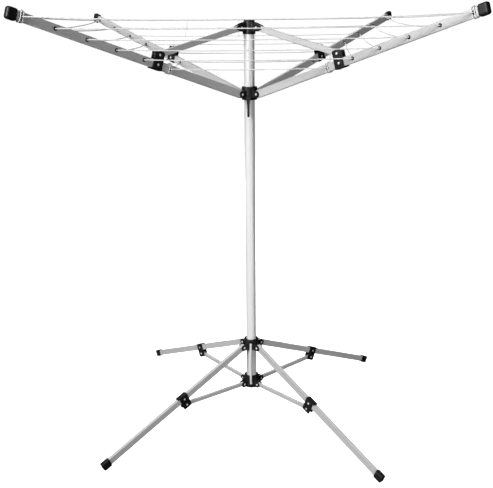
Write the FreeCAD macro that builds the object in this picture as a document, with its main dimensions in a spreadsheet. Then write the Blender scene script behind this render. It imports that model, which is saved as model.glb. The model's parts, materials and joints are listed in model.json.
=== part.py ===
"""Free-standing rotary clothesline: a mast, a folding four-arm canopy strung with line, and a folding
four-leg base. Millimetres, +Z up, origin on the mast's axis at the ground.

Every folding member is drawn in its own frame, +X along the member from its hub pivot and +Z up across it,
and then placed. Hubs are drawn about their pivot height on the mast's axis.
"""
import FreeCAD
import Part

import math
import os

V = FreeCAD.Vector
doc = FreeCAD.newDocument("RotaryClothesline")
sheet = doc.addObject("Spreadsheet::Sheet", "Sizes")

SIZES = {
    # mast and hubs
    "MastRadius": 20, "MastWall": 1.5, "MastFit": 0.5, "DetentRadius": 3.5, "DetentRise": 62,
    "HubWall": 8.5, "PivotStand": 17, "EarThickness": 4, "EarReach": 13,
    "EarGapFit": 0.6, "Fit": 0.3, "PinRadius": 3, "HeadRadius": 4.4, "HeadHeight": 2.4, "BushRadius": 5,
    "CrownPivotZ": 1560, "CrownLow": 22, "CrownHigh": 26, "CrownLid": 5,
    "CollarDrop": 239, "CollarLow": 22, "CollarHigh": 27,
    "LegHubRise": 165, "LegHubLow": 14, "LegHubHigh": 30,
    "LowerHubPivotZ": 130, "LowerHubLow": 18, "LowerHubHigh": 33, "SocketFloor": 4,
    # arms and braces
    "ArmHeight": 28, "ArmWidth": 14, "ArmWall": 1.3, "ArmSlope": 17.6, "ArmLength": 952,
    "ArmTurn": -0.6, "BackLeftTurn": 1.9, "BackRightTurn": 3.4, "BraceHeight": 20, "BraceWidth": 12,
    "BraceWall": 1.2,
    "ArmBracketAt": 409, "BraceOffset": 33, "ArmBracketLength": 40, "ArmBracketHead": 13,
    "BracketWall": 3.2, "BracketRound": 7, "BracketLip": 7,
    "HolePitch": 112, "HoleOuterInset": 37, "HoleRadius": 3.6, "GrommetRadius": 6.2,
    "GrommetFlange": 1.4, "GrommetBore": 2.4,
    "ArmCapLength": 34.5, "ArmCapWall": 4.5, "ArmCapRound": 8, "ArmCapOverlap": 25,
    # legs and struts
    "LegHeight": 24, "LegWidth": 14, "LegWall": 1.4, "LegSlope": 22.8, "LegTurn": -4.9,
    "StrutHeight": 15, "StrutWidth": 11, "StrutWall": 1.2, "LegBracketAt": 331, "StrutOffset": 29,
    "LegBracketLength": 38, "LegBracketHead": 14, "FootLength": 34, "FootWall": 3, "FootRound": 2.5,
    "FootFlatDepth": 2, "FootOverlap": 24,
    # lock rod and latch lever
    "RodRadius": 4.6, "RodInset": 2, "RodTop": 15, "RodBottom": 3,
    "LatchTurn": -7, "LatchStand": 9, "LatchPivotDrop": 14, "LatchLength": 70, "LatchWidth": 12,
    "LatchTipWidth": 7.5, "LatchThick": 7, "LatchTipThick": 4.5, "LatchPinRadius": 2, "LatchEye": 4.5,
    # washing line
    "LineRadius": 1.9, "LineStand": 2.1, "FrontSag": 4, "FrontOuterSag": 13, "SideOuterSag": 3,
    "BackSag": 4, "SideSag": 9, "StepSag": 15, "LinkSag": 8,
}
FORMULAS = {
    "CollarPivotZ": "=CrownPivotZ - CollarDrop",
    "LegHubPivotZ": "=LowerHubPivotZ + LegHubRise",
    "HubBore": "=MastRadius + MastFit",
    "HubRadius": "=HubBore + HubWall",
    "PivotRadius": "=HubRadius + PivotStand",
    "RodStand": "=HubRadius - RodInset",
    "LatchRadius": "=HubRadius + LatchStand",
    "ArmBracketRise": "=BraceOffset + ArmBracketHead",
    "LegBracketDrop": "=StrutOffset + LegBracketHead",
    "ArmCapHeight": "=ArmHeight + 2 * ArmCapWall",
    "ArmCapWidth": "=ArmWidth + 2 * ArmCapWall",
    "FootHeight": "=LegHeight + 2 * FootWall",
    "FootWidth": "=LegWidth + 2 * FootWall",
}
ALIASES = {**SIZES, **FORMULAS}
for row, (alias, value) in enumerate(ALIASES.items(), start=1):
    sheet.set(f"A{row}", alias)
    sheet.set(f"B{row}", str(value))
    sheet.setAlias(f"B{row}", alias)
doc.recompute()

HOLES = 6  # line holes in each arm
SQUARE = 90.0
ARMS = {"fl": 225.0, "fr": 315.0, "br": 45.0, "bl": 135.0}
AXIS_TURN = {
    "x": FreeCAD.Rotation(V(0, 1, 0), SQUARE),
    "y": FreeCAD.Rotation(V(1, 0, 0), -SQUARE),
    "z": FreeCAD.Rotation(),
}
PARTS = []


def size(alias):
    """The sheet's value for an alias, for the sums that the code itself does."""
    return float(sheet.get(alias))


def cells(text):
    """An expression in aliases, written out with the sheet's name."""
    for alias in sorted(ALIASES, key=len, reverse=True):
        text = text.replace(alias, f"@{list(ALIASES).index(alias)}@")
    for index, alias in enumerate(ALIASES):
        text = text.replace(f"@{index}@", f"Sizes.{alias}")
    return text


def bind(obj, values):
    """Ties properties of an object to expressions in the sheet's aliases."""
    for prop, text in values.items():
        obj.setExpression(prop, cells(str(text)))
    return obj


def box(length, width, height, at=("0", "0", "0")):
    """A box from its low corner, every size and place an expression."""
    obj = doc.addObject("Part::Box", "Box")
    bind(obj, {"Length": length, "Width": width, "Height": height})
    return bind(obj, {f".Placement.Base.{axis}": text for axis, text in zip("xyz", at)})


def slab(low, high, width, bottom, top):
    """A box centred across the member, between two places along it and two heights."""
    return box(f"({high}) - ({low})", width, f"({top}) - ({bottom})", (low, f"-({width}) / 2", bottom))


def rod(radius, height, at=("0", "0", "0"), axis="z"):
    """A cylinder that starts at a place and runs along +X, +Y or +Z."""
    obj = doc.addObject("Part::Cylinder", "Rod")
    obj.Placement = FreeCAD.Placement(V(), AXIS_TURN[axis])
    bind(obj, {"Radius": radius, "Height": height})
    return bind(obj, {f".Placement.Base.{name}": text for name, text in zip("xyz", at)})


def across(radius, width, along="0", high="0"):
    """A cylinder that lies across the member, centred on it."""
    return rod(radius, width, (along, f"-({width}) / 2", high), "y")


def fuse(*pieces):
    obj = doc.addObject("Part::MultiFuse", "Fuse")
    obj.Shapes = list(pieces)
    obj.Refine = True
    return obj


def cut(base, *tools):
    for tool in tools:
        obj = doc.addObject("Part::Cut", "Cut")
        obj.Base = base
        obj.Tool = tool
        base = obj
    return base


def group(pieces):
    obj = doc.addObject("Part::Compound", "Group")
    obj.Links = list(pieces)
    return obj


def rounded(base, radius, wanted):
    """A fillet on the edges of a solid that the test picks."""
    doc.recompute()
    obj = doc.addObject("Part::Fillet", "Rounded")
    obj.Base = base
    picked = [n for n, edge in enumerate(base.Shape.Edges, start=1) if wanted(edge)]
    obj.Edges = [(n, size(radius), size(radius)) for n in picked]
    return obj


def turned(obj, degrees):
    """Turns a piece of a hub about the mast's axis."""
    obj.Placement = FreeCAD.Placement(V(), FreeCAD.Rotation(V(0, 0, 1), degrees))
    return obj


def named(obj, label, place=None):
    """Makes an object a sub-part: its label is its file's name."""
    obj.Label = label
    if place is not None:
        obj.Placement = place.multiply(obj.Placement)
    PARTS.append(obj)
    return obj


def hub_place(pivot_z, turn=0.0):
    return FreeCAD.Placement(V(0, 0, pivot_z), FreeCAD.Rotation(V(0, 0, 1), turn))


def member_place(azimuth, radius, pivot_z, slope):
    """Where a member's own frame goes: at its pivot, pointing outwards and sloping up."""
    out = FreeCAD.Rotation(V(0, 0, 1), azimuth)
    rise = FreeCAD.Rotation(V(0, 1, 0), -slope)
    return FreeCAD.Placement(out.multVec(V(radius, 0, 0)) + V(0, 0, pivot_z), out.multiply(rise))


# ---------------------------------------------------------------- hubs


def arm_azimuth(name):
    """Which way an arm points; the two back arms sit a little round from square."""
    extra = {"bl": "BackLeftTurn", "br": "BackRightTurn"}
    return ARMS[name] + size("ArmTurn") + (size(extra[name]) if name in extra else 0.0)


def leg_azimuth(name):
    """Which way a leg points."""
    return ARMS[name] + size("LegTurn")


def hub_body(low, high, member_width, drilled, azimuths):
    """A barrel with four pairs of rounded ears; drilled ears take a pivot bolt."""
    pieces = [rod("HubRadius", f"{low} + {high}", ("0", "0", f"-{low}"))]
    for azimuth in azimuths:
        for side in (-1, 1):
            inner = f"({member_width} / 2 + EarGapFit)"
            start = inner if side > 0 else f"-{inner} - EarThickness"
            plate = box("PivotRadius - MastRadius", "EarThickness", "2 * EarReach",
                        ("MastRadius", start, "-EarReach"))
            nose = rod("EarReach", "EarThickness", ("PivotRadius", start, "0"), "y")
            ear = fuse(plate, nose)
            if drilled:
                drill = across("PinRadius + Fit", f"4 * {member_width}", "PivotRadius")
                ear = cut(ear, drill)
            pieces.append(turned(ear, azimuth))
    body = fuse(*pieces)
    slots = []
    for azimuth in azimuths:
        slot = slab("HubRadius + 0.6", "PivotRadius + 2 * EarReach", f"{member_width} + 2 * EarGapFit",
                    f"-{low} - 10", f"{high} + 10")
        slots.append(turned(group([slot]), azimuth))
    return cut(body, group(slots))


def heads(member_width):
    """The two domed heads of a pivot bolt on the outer faces of a pair of ears."""
    face = f"({member_width} / 2 + EarGapFit + EarThickness)"
    pieces = []
    for side in (-1, 1):
        start = face if side > 0 else f"-{face} - HeadHeight"
        pieces.append(rod("HeadRadius", "HeadHeight", ("PivotRadius", start, "0"), "y"))
    return pieces


def hub_bolts(member_width, through, azimuths):
    """Four pivot bolts; a bolt through its ears is one piece, and an open pivot has heads only."""
    pieces = []
    for azimuth in azimuths:
        bolt = heads(member_width)
        if through:
            shank = across("PinRadius", f"{member_width} + 2 * EarGapFit + 2 * EarThickness", "PivotRadius")
            bolt = [fuse(shank, *bolt)]
        pieces.append(turned(group(bolt), azimuth))
    return group(pieces)


def rod_channel(bottom, top):
    """The notch in a hub's front that the lock rod lies in, open to the front."""
    return box("2 * RodRadius + 2 * Fit", "3 * RodRadius", f"({top}) - ({bottom})",
               ("-RodRadius - Fit", "-RodStand - 3 * RodRadius", bottom))


def make_mast():
    bottom = "LowerHubPivotZ - LowerHubLow + SocketFloor + Fit"
    top = "CrownPivotZ + CrownHigh - CrownLid - Fit"
    outer = rod("MastRadius", f"({top}) - ({bottom})", ("0", "0", bottom))
    inner = rod("MastRadius - MastWall", f"({top}) - ({bottom}) + 2", ("0", "0", f"{bottom} - 1"))
    detent = rod("DetentRadius", "MastRadius", ("0", "-MastRadius", "CollarPivotZ + DetentRise"), "y")
    detent.Placement = FreeCAD.Placement(V(), FreeCAD.Rotation(V(0, 0, 1), size("LatchTurn"))).multiply(
        detent.Placement)
    named(cut(outer, inner, detent), "mast_tube")


def make_crown():
    azimuths = [arm_azimuth(name) for name in ARMS]
    body = hub_body("CrownLow", "CrownHigh", "BraceWidth", True, azimuths)
    bore = rod("MastRadius + Fit", "CrownLow + CrownHigh - CrownLid", ("0", "0", "-CrownLow"))
    lid = doc.addObject("Part::Cone", "Lid")
    bind(lid, {"Radius1": "HubRadius", "Radius2": "HubRadius - CrownLid", "Height": "CrownLid",
               ".Placement.Base.z": "CrownHigh"})
    place = hub_place(size("CrownPivotZ"))
    named(cut(fuse(body, lid), bore), "crown_hub", place)
    named(hub_bolts("BraceWidth", True, azimuths), "crown_bolts", place)


def make_collar():
    """The sliding collar at the arms' inner ends, with the two small ears of the latch lever."""
    azimuths = [arm_azimuth(name) for name in ARMS]
    body = hub_body("CollarLow", "CollarHigh", "ArmWidth", False, azimuths)
    ears = []
    for side in (-1, 1):
        start = "LatchWidth / 2 + Fit" if side > 0 else "-LatchWidth / 2 - Fit - BracketWall"
        at = (start, "-LatchRadius - LatchEye", "-CollarLow")
        ears.append(box("BracketWall", "LatchRadius + LatchEye - MastRadius",
                        "CollarLow - LatchPivotDrop + LatchEye", at))
    drill = rod("LatchPinRadius + 0.1", "6 * LatchWidth",
                ("-3 * LatchWidth", "-LatchRadius", "-LatchPivotDrop"), "x")
    latch_ears = turned(group(ears), size("LatchTurn"))
    relief = box("LatchWidth + 2 * Fit", "2 * LatchRadius",
                 "CollarLow - LatchPivotDrop + LatchEye + 2 * Fit + 1",
                 ("-LatchWidth / 2 - Fit", "-HubBore - EarThickness - 2 * LatchRadius", "-CollarLow - 1"))
    hole = turned(group([drill]), size("LatchTurn"))
    bore = rod("HubBore", "CollarLow + CollarHigh + 2", ("0", "0", "-CollarLow - 1"))
    place = hub_place(size("CollarPivotZ"))
    gap = turned(group([relief]), size("LatchTurn"))
    named(cut(fuse(body, latch_ears), bore, hole, gap), "collar_hub", place)
    pin = rod("LatchPinRadius", "LatchWidth + 2 * Fit + 2 * BracketWall",
              ("-LatchWidth / 2 - Fit - BracketWall", "-LatchRadius", "-LatchPivotDrop"), "x")
    bolts = group([hub_bolts("ArmWidth", False, azimuths), turned(group([pin]), size("LatchTurn"))])
    named(bolts, "collar_bolts", hub_place(size("CollarPivotZ")))


def make_latch():
    """The slim tapering lever that hangs in front of the mast; its frame is on its pin."""
    taper = doc.addObject("Part::Wedge", "Taper")
    bind(taper, {"Xmin": "-LatchWidth / 2", "Xmax": "LatchWidth / 2", "X2min": "-LatchTipWidth / 2",
                 "X2max": "LatchTipWidth / 2", "Ymin": "0", "Ymax": "LatchLength",
                 "Zmin": "-LatchThick / 2", "Zmax": "LatchThick / 2", "Z2min": "-LatchTipThick / 2",
                 "Z2max": "LatchTipThick / 2"})
    taper.Placement = FreeCAD.Placement(V(), FreeCAD.Rotation(V(1, 0, 0), -SQUARE))
    eye = rod("LatchEye", "LatchWidth", ("-LatchWidth / 2", "0", "0"), "x")
    hole = rod("LatchPinRadius + Fit", "2 * LatchWidth", ("-LatchWidth", "0", "0"), "x")
    turn = FreeCAD.Rotation(V(0, 0, 1), size("LatchTurn"))
    pivot = turn.multVec(V(0, -size("LatchRadius"), 0))
    pivot.z = size("CollarPivotZ") - size("LatchPivotDrop")
    named(cut(fuse(taper, eye), hole), "latch_lever", FreeCAD.Placement(pivot, turn))


def make_leg_hub():
    body = hub_body("LegHubLow", "LegHubHigh", "LegWidth", False, ARMS.values())
    bore = rod("HubBore", "LegHubLow + LegHubHigh + 2", ("0", "0", "-LegHubLow - 1"))
    channel = rod_channel("-LegHubLow - 1", "RodTop + Fit")
    seat = rod("RodRadius + Fit", "LegHubLow + RodTop + Fit + 1", ("0", "-RodStand", "-LegHubLow - 1"))
    place = hub_place(size("LegHubPivotZ"), size("LegTurn"))
    named(cut(body, bore, channel, seat), "leg_hub", place)
    named(hub_bolts("LegWidth", False, ARMS.values()), "leg_hub_bolts", place)


def make_lower_hub():
    """The fixed hub under the mast: a closed socket, with the lock rod's seat in its front."""
    body = hub_body("LowerHubLow", "LowerHubHigh", "StrutWidth", True, ARMS.values())
    lip = rod("HubRadius + RodRadius / 2", "LowerHubLow - RodBottom", ("0", "0", "-LowerHubLow"))
    bore = rod("HubBore", "LowerHubLow + LowerHubHigh", ("0", "0", "-LowerHubLow + SocketFloor"))
    channel = rod_channel("-RodBottom", "LowerHubHigh + 1")
    seat = rod("RodRadius + Fit", "RodBottom + LowerHubHigh + 1", ("0", "-RodStand", "-RodBottom"))
    place = hub_place(size("LowerHubPivotZ"), size("LegTurn"))
    named(cut(fuse(body, lip), bore, channel, seat), "lower_hub", place)
    named(hub_bolts("StrutWidth", True, ARMS.values()), "lower_hub_bolts", place)
    bar = rod("RodRadius", "LegHubPivotZ + RodTop - LowerHubPivotZ + RodBottom",
              ("0", "-RodStand", "-RodBottom"))
    bar = rounded(bar, "LatchPinRadius", lambda edge: edge.BoundBox.ZLength < 0.01)
    named(bar, "lock_rod", place)


# ---------------------------------------------------------------- members


def tube(length, height, width, wall, open_end):
    """A rectangular tube with a round nose at its pivot, and at its far end too unless that is open."""
    pieces = [slab("0", length, width, f"-{height} / 2", f"{height} / 2"), across(f"{height} / 2", width)]
    hollow_end = f"{length} + 1"
    if not open_end:
        pieces.append(across(f"{height} / 2", width, length))
        hollow_end = f"{length} - {height} / 2"
    hollow = slab(f"{height} / 2", hollow_end, f"{width} - 2 * {wall}", f"-{height} / 2 + {wall}",
                  f"{height} / 2 - {wall}")
    return cut(fuse(*pieces), hollow)


def hole_at(number):
    """How far along the arm a line hole is, counted inwards from the tip."""
    return size("ArmLength") - size("HoleOuterInset") - number * size("HolePitch")


def bolt(width, along, high):
    """A through bolt with a head on each outer face of a bracket."""
    shank = across("PinRadius", width, along, high)
    pieces = [shank]
    for start in (f"{width} / 2", f"-{width} / 2 - HeadHeight"):
        pieces.append(rod("HeadRadius", "HeadHeight", (along, start, high), "y"))
    return fuse(*pieces)


def saddle(member_width, member_height, length, at, reach, wraps_under):
    """A U bracket over or under a member, whose cheeks reach past it to the pivot of a second one."""
    inner = f"{member_width} + 2 * Fit"
    outer = f"({inner} + 2 * BracketWall)"
    back = f"{member_height} / 2 + Fit"
    low, high = (f"-({back} + BracketWall)", reach) if wraps_under else (f"-{reach}", f"{back} + BracketWall")
    block = slab(f"{at} - {length} / 2", f"{at} + {length} / 2", outer, low, high)
    far = size(reach) * (1 if wraps_under else -1)
    block = rounded(block, "BracketRound", lambda edge: edge.BoundBox.YLength > 1
                    and abs(edge.BoundBox.ZMin - far) < 0.01 and edge.BoundBox.XLength < 0.01)
    slot_low, slot_high = (f"-({back})", f"{reach} + 5") if wraps_under else (f"-{reach} - 5", back)
    slot = slab(f"{at} - {length}", f"{at} + {length}", inner, slot_low, slot_high)
    lip_low = f"-({back} + BracketWall)" if wraps_under else back
    lip = slab(f"{at} + {length} / 2 - 1", f"{at} + {length} / 2 + BracketLip", outer, lip_low,
               f"{lip_low} + BracketWall")
    return fuse(cut(block, slot), lip)


def make_arm(name):
    place = member_place(arm_azimuth(name), size("PivotRadius"), size("CollarPivotZ"), size("ArmSlope"))
    holes = [across("HoleRadius", "2 * ArmWidth", str(hole_at(n))) for n in range(HOLES)]
    bolt_hole = across("PinRadius + Fit", "2 * ArmWidth", "ArmBracketAt")
    bush_hole = across("BushRadius + 0.1", "2 * ArmWidth")
    profile = tube("ArmLength", "ArmHeight", "ArmWidth", "ArmWall", True)
    body = cut(profile, group(holes + [bolt_hole, bush_hole]))
    named(body, f"arm_tube_{name}", place)

    start = "ArmLength - ArmCapOverlap"
    block = slab(start, f"{start} + ArmCapLength", "ArmCapWidth", "-ArmCapHeight / 2", "ArmCapHeight / 2")
    block = rounded(block, "ArmCapRound", lambda edge: True)
    socket = slab(f"{start} - 1", "ArmLength + Fit", "ArmWidth + 2 * Fit", "-ArmHeight / 2 - Fit",
                  "ArmHeight / 2 + Fit")
    named(cut(block, socket), f"arm_cap_{name}", place)

    bracket = saddle("ArmWidth", "ArmHeight", "ArmBracketLength", "ArmBracketAt", "ArmBracketRise", True)
    drills = [across("PinRadius + 0.1", "4 * ArmWidth", "ArmBracketAt", high)
              for high in ("0", "BraceOffset")]
    named(cut(bracket, group(drills)), f"arm_bracket_{name}", place)

    width = "(ArmWidth + 2 * Fit + 2 * BracketWall)"
    bush = across("BushRadius", "ArmWidth")
    bolts = [bolt(width, "ArmBracketAt", "0"), bolt(width, "ArmBracketAt", "BraceOffset"), bush]
    named(group(bolts), f"arm_bolts_{name}", place)

    rings = []
    for number in range(HOLES):
        along = str(hole_at(number))
        sleeve = across("HoleRadius - 0.1", "ArmWidth + 2 * GrommetFlange", along)
        flanges = [rod("GrommetRadius", "GrommetFlange", (along, at, "0"), "y")
                   for at in ("ArmWidth / 2", "-ArmWidth / 2 - GrommetFlange")]
        rings.append(cut(fuse(sleeve, *flanges), across("GrommetBore", "2 * ArmWidth", along)))
    named(group(rings), f"arm_grommets_{name}", place)


def linked(radius, height, along, across_up, slope):
    """The place in the hub's upright plane of a point given in a member's frame."""
    angle = math.radians(slope)
    return (radius + along * math.cos(angle) - across_up * math.sin(angle),
            height + along * math.sin(angle) + across_up * math.cos(angle))


def make_link(name, label, azimuth, from_z, far_point, height, width, wall):
    """A straight link with a pivot hole at each end, from a fixed hub to a bracket on its member."""
    run = far_point[0] - size("PivotRadius")
    rise = far_point[1] - from_z
    length = str(math.hypot(run, rise))
    drills = group([across("PinRadius + Fit", f"2 * {width}", along) for along in ("0", length)])
    place = member_place(azimuth, size("PivotRadius"), from_z, math.degrees(math.atan2(rise, run)))
    named(cut(tube(length, height, width, wall, False), drills), f"{label}_{name}", place)


def leg_length():
    """How far along the leg its foot ends, so that the foot's lower corner is just cut off by the ground."""
    angle = math.radians(size("LegSlope"))
    drop = size("LegHubPivotZ") + size("FootFlatDepth") - size("FootHeight") / 2 * math.cos(angle)
    return drop / math.sin(angle)


def make_leg(name):
    place = member_place(leg_azimuth(name), size("PivotRadius"), size("LegHubPivotZ"), -size("LegSlope"))
    end = leg_length()
    tube_end = f"{end} - FootLength + FootOverlap"
    bolt_hole = across("PinRadius + Fit", "2 * LegWidth", "LegBracketAt")
    bush_hole = across("BushRadius + 0.1", "2 * LegWidth")
    body = cut(tube(f"({tube_end})", "LegHeight", "LegWidth", "LegWall", True), group([bolt_hole, bush_hole]))
    named(body, f"leg_tube_{name}", place)

    block = slab(f"{end} - FootLength", str(end), "FootWidth", "-FootHeight / 2", "FootHeight / 2")
    block = rounded(block, "FootRound", lambda edge: edge.BoundBox.XMax < end - 1 or edge.BoundBox.ZMin > 0)
    socket = slab(f"{end} - FootLength - 1", f"{tube_end} + Fit", "LegWidth + 2 * Fit",
                  "-LegHeight / 2 - Fit", "LegHeight / 2 + Fit")
    ground = doc.addObject("Part::Box", "Ground")
    bind(ground, {"Length": "4 * LegHubPivotZ", "Width": "4 * LegHubPivotZ", "Height": "LegHubPivotZ"})
    foot = place.multVec(V(end, 0, 0))
    below = V(foot.x - 2 * size("LegHubPivotZ"), foot.y - 2 * size("LegHubPivotZ"), -size("LegHubPivotZ"))
    ground.Placement = place.inverse().multiply(FreeCAD.Placement(below, FreeCAD.Rotation()))
    named(cut(block, socket, ground), f"foot_cap_{name}", place)

    bracket = saddle("LegWidth", "LegHeight", "LegBracketLength", "LegBracketAt", "LegBracketDrop", False)
    drills = [across("PinRadius + 0.1", "4 * LegWidth", "LegBracketAt", high)
              for high in ("0", "-StrutOffset")]
    named(cut(bracket, group(drills)), f"leg_bracket_{name}", place)

    width = "(LegWidth + 2 * Fit + 2 * BracketWall)"
    bush = across("BushRadius", "LegWidth")
    bolts = [bolt(width, "LegBracketAt", "0"), bolt(width, "LegBracketAt", "-StrutOffset"), bush]
    named(group(bolts), f"leg_bolts_{name}", place)


# ---------------------------------------------------------------- washing line


def hole_point(arm, number, toward):
    """The point just off an arm's side face, on the axis of a line hole, on the side of another arm."""
    place = member_place(arm_azimuth(arm), size("PivotRadius"), size("CollarPivotZ"), size("ArmSlope"))
    side = 1 if (ARMS[toward] - ARMS[arm]) % 360 < 180 else -1
    stand = size("ArmWidth") / 2 + size("GrommetFlange") + size("LineStand")
    return place.multVec(V(hole_at(number), side * stand, 0))


def span(arm_a, hole_a, arm_b, hole_b, sag):
    """One hanging stretch of line between two arms: a tube along one shallow arc."""
    start = hole_point(arm_a, hole_a, arm_b)
    end = hole_point(arm_b, hole_b, arm_a)
    middle = (start + end) * 0.5 - V(0, 0, size(sag))
    arc = Part.Arc(start, middle, end)
    ring = Part.Wire([Part.Circle(start, arc.tangent(arc.FirstParameter)[0], size("LineRadius")).toShape()])
    return Part.Wire([arc.toShape()]).makePipeShell([ring], True, False)


def make_lines():
    """Six rings of line: level round three sides, and stepping in by one hole on the right side."""
    runs = {"line_front": [], "line_left": [], "line_back": [], "line_right": []}
    for n in range(HOLES):
        runs["line_front"].append(span("fl", n, "fr", n, "FrontOuterSag" if n == 0 else "FrontSag"))
        runs["line_left"].append(span("bl", n, "fl", n, "SideOuterSag" if n == 0 else "SideSag"))
        runs["line_back"].append(span("br", n, "bl", n, "BackSag"))
    runs["line_left"].append(span("bl", 0, "fl", 1, "LinkSag"))
    runs["line_right"].append(span("br", 0, "fr", 0, "SideOuterSag"))
    for n in range(HOLES - 1):
        runs["line_right"].append(span("br", n, "fr", n + 1, "StepSag"))
    for label, tubes in runs.items():
        obj = doc.addObject("Part::Feature", label)
        obj.Shape = Part.makeCompound(tubes)
        named(obj, label)


def main():
    """Builds every sub-part, checks it, and writes one STEP file for each."""
    make_mast()
    make_crown()
    make_collar()
    make_latch()
    make_leg_hub()
    make_lower_hub()
    brace_end = linked(size("PivotRadius"), size("CollarPivotZ"), size("ArmBracketAt"), size("BraceOffset"),
                       size("ArmSlope"))
    strut_end = linked(size("PivotRadius"), size("LegHubPivotZ"), size("LegBracketAt"), -size("StrutOffset"),
                       -size("LegSlope"))
    for name in ARMS:
        make_arm(name)
        make_link(name, "brace", arm_azimuth(name), size("CrownPivotZ"), brace_end,
                  "BraceHeight", "BraceWidth", "BraceWall")
        make_leg(name)
        make_link(name, "leg_strut", leg_azimuth(name), size("LowerHubPivotZ"), strut_end,
                  "StrutHeight", "StrutWidth", "StrutWall")
    make_lines()
    doc.recompute()
    for obj in doc.Objects:
        if "Invalid" in obj.State or "Error" in obj.State:
            raise RuntimeError(f"{obj.Label} failed: {obj.State}")
    for obj in PARTS:
        if obj.Shape.isNull() or not obj.Shape.isValid():
            raise RuntimeError(f"{obj.Label} has no valid shape")
    os.makedirs("parts", exist_ok=True)
    for obj in PARTS:
        obj.Shape.exportStep(f"parts/{obj.Label}.step")
        box_of = obj.Shape.BoundBox
        print(f"{obj.Label}: {len(obj.Shape.Solids)} solids, z {box_of.ZMin:.1f} to {box_of.ZMax:.1f}")


main()
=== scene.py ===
"""Looks for the free-standing rotary clothesline: tubes, mouldings, bolts, line, lights and camera."""

import json
import logging
import math
from dataclasses import dataclass
from enum import Enum

import bmesh
import bpy
import numpy as np
from mathutils import Matrix, Vector

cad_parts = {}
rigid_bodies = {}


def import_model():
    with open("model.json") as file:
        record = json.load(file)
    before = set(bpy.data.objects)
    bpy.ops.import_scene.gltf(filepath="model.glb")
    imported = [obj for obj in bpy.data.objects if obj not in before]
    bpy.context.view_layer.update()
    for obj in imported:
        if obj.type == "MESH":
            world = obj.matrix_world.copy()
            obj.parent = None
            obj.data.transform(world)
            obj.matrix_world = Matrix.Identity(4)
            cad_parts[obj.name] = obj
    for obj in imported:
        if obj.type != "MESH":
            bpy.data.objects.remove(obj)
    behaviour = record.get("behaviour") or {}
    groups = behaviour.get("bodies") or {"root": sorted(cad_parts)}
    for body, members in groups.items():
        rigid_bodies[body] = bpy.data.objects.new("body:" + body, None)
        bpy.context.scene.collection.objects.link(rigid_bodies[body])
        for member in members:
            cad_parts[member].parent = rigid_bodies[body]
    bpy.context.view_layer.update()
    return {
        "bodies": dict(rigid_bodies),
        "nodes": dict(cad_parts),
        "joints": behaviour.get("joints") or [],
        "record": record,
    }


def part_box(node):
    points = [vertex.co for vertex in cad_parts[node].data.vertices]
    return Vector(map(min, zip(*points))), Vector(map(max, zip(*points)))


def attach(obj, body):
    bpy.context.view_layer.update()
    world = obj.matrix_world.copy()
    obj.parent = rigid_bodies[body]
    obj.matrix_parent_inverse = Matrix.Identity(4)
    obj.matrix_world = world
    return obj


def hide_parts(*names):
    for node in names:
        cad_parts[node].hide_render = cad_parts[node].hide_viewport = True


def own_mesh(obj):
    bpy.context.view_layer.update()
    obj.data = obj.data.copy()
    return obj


log = logging.getLogger("clothesline")
UP = Vector((0.0, 0.0, 1.0))
HOLES = 6
LINE_RADIUS = 0.0019
WELD = 2e-6


class Arm(Enum):
    """The four arms, in order anticlockwise from above."""

    FL = "fl"
    FR = "fr"
    BR = "br"
    BL = "bl"


@dataclass(frozen=True)
class Finish:
    """One surface finish, as the numbers that its node tree needs.

    Attributes:
        name: the material's name, and its key in the shop.
        color: base colour, linear RGB.
        metallic: 0 for plastics, up to 1 for bare metal.
        roughness: mean roughness.
        grain: size of the fine surface pattern, in cycles a metre.
        bump: strength of that pattern's relief.
        variation: how far the colour and roughness wander.
        stretch: the pattern's scale along each axis, for brushed or drawn surfaces.
    """

    name: str
    color: tuple[float, float, float]
    metallic: float
    roughness: float
    grain: float
    bump: float
    variation: float
    stretch: tuple[float, float, float] = (1.0, 1.0, 1.0)

    def make(self) -> bpy.types.Material:
        """Builds the material's nodes on Object coordinates.

        Returns:
            The finished material.
        """
        mat = bpy.data.materials.new(self.name)
        mat.use_nodes = True
        nodes, links = mat.node_tree.nodes, mat.node_tree.links
        shader = nodes["Principled BSDF"]
        shader.inputs["Metallic"].default_value = self.metallic
        coords = nodes.new("ShaderNodeTexCoord")
        mapping = nodes.new("ShaderNodeMapping")
        mapping.inputs["Scale"].default_value = self.stretch
        links.new(coords.outputs["Object"], mapping.inputs["Vector"])

        fine = nodes.new("ShaderNodeTexNoise")
        fine.inputs["Scale"].default_value = self.grain
        fine.inputs["Detail"].default_value = 4.0
        links.new(mapping.outputs["Vector"], fine.inputs["Vector"])
        broad = nodes.new("ShaderNodeTexNoise")
        broad.inputs["Scale"].default_value = 9.0
        broad.inputs["Detail"].default_value = 3.0
        links.new(mapping.outputs["Vector"], broad.inputs["Vector"])

        tone = nodes.new("ShaderNodeMapRange")
        tone.inputs["To Min"].default_value = 1.0 - self.variation
        tone.inputs["To Max"].default_value = 1.0 + self.variation
        links.new(broad.outputs["Fac"], tone.inputs["Value"])
        tint = nodes.new("ShaderNodeVectorMath")
        tint.operation = "SCALE"
        tint.inputs[0].default_value = self.color
        links.new(tone.outputs["Result"], tint.inputs["Scale"])
        links.new(tint.outputs["Vector"], shader.inputs["Base Color"])

        gloss = nodes.new("ShaderNodeMapRange")
        gloss.inputs["To Min"].default_value = max(0.05, self.roughness - self.variation)
        gloss.inputs["To Max"].default_value = min(1.0, self.roughness + self.variation)
        links.new(fine.outputs["Fac"], gloss.inputs["Value"])
        links.new(gloss.outputs["Result"], shader.inputs["Roughness"])

        relief = nodes.new("ShaderNodeBump")
        relief.inputs["Strength"].default_value = self.bump
        relief.inputs["Distance"].default_value = 0.0004
        links.new(fine.outputs["Fac"], relief.inputs["Height"])
        links.new(relief.outputs["Normal"], shader.inputs["Normal"])
        return mat


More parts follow.
